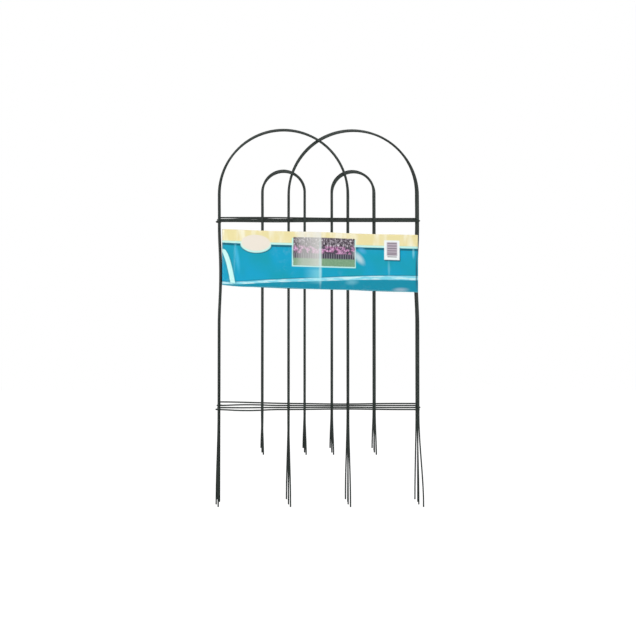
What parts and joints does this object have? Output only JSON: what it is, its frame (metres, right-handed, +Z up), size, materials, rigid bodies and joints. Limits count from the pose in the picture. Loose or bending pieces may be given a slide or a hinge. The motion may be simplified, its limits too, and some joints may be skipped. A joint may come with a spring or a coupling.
{
  "type": "folding garden edging fence",
  "caption": "Folding garden edging fence of arched steel wire panels hinged in a row, folded into a flat pack with a printed film sleeve.",
  "frame": {"origin": "the middle of the cut end of the front panel's left leg, where it stands on the ground", "axes": "+X to the right along the folded panels, +Y to the back of the pack, +Z up"},
  "size_m": [0.4509, 0.0328, 0.8241],
  "materials": {
    "wire": "dark green-grey coated steel wire, satin",
    "film": "thin printed plastic film, glossy"
  },
  "bodies": {
    "panel_1": {"panel_1_left_arch": "wire", "panel_1_right_arch": "wire", "panel_1_left_small_arch": "wire", "panel_1_right_small_arch": "wire", "panel_1_top_rail": "wire", "panel_1_bottom_rail": "wire", "label_sleeve": "film"},
    "panel_2": {"panel_2_left_arch": "wire", "panel_2_right_arch": "wire", "panel_2_left_small_arch": "wire", "panel_2_right_small_arch": "wire", "panel_2_top_rail": "wire", "panel_2_bottom_rail": "wire"},
    "panel_3": {"panel_3_left_arch": "wire", "panel_3_right_arch": "wire", "panel_3_left_small_arch": "wire", "panel_3_right_small_arch": "wire", "panel_3_top_rail": "wire", "panel_3_bottom_rail": "wire"},
    "panel_4": {"panel_4_left_arch": "wire", "panel_4_right_arch": "wire", "panel_4_left_small_arch": "wire", "panel_4_right_small_arch": "wire", "panel_4_top_rail": "wire", "panel_4_bottom_rail": "wire"}
  },
  "joints": [
    {"name": "hinge_1", "type": "hinge", "parent": "panel_1", "child": "panel_2", "pos_m": [-0.0016, 0.0078, 0.4125], "axis": [0, 0, 1], "range_deg": [0, 180]},
    {"name": "hinge_2", "type": "hinge", "parent": "panel_2", "child": "panel_3", "pos_m": [0.4315, 0.0156, 0.4125], "axis": [0, 0, -1], "range_deg": [0, 180]},
    {"name": "hinge_3", "type": "hinge", "parent": "panel_3", "child": "panel_4", "pos_m": [-0.0016, 0.0234, 0.4125], "axis": [0, 0, 1], "range_deg": [0, 180]}
  ]
}
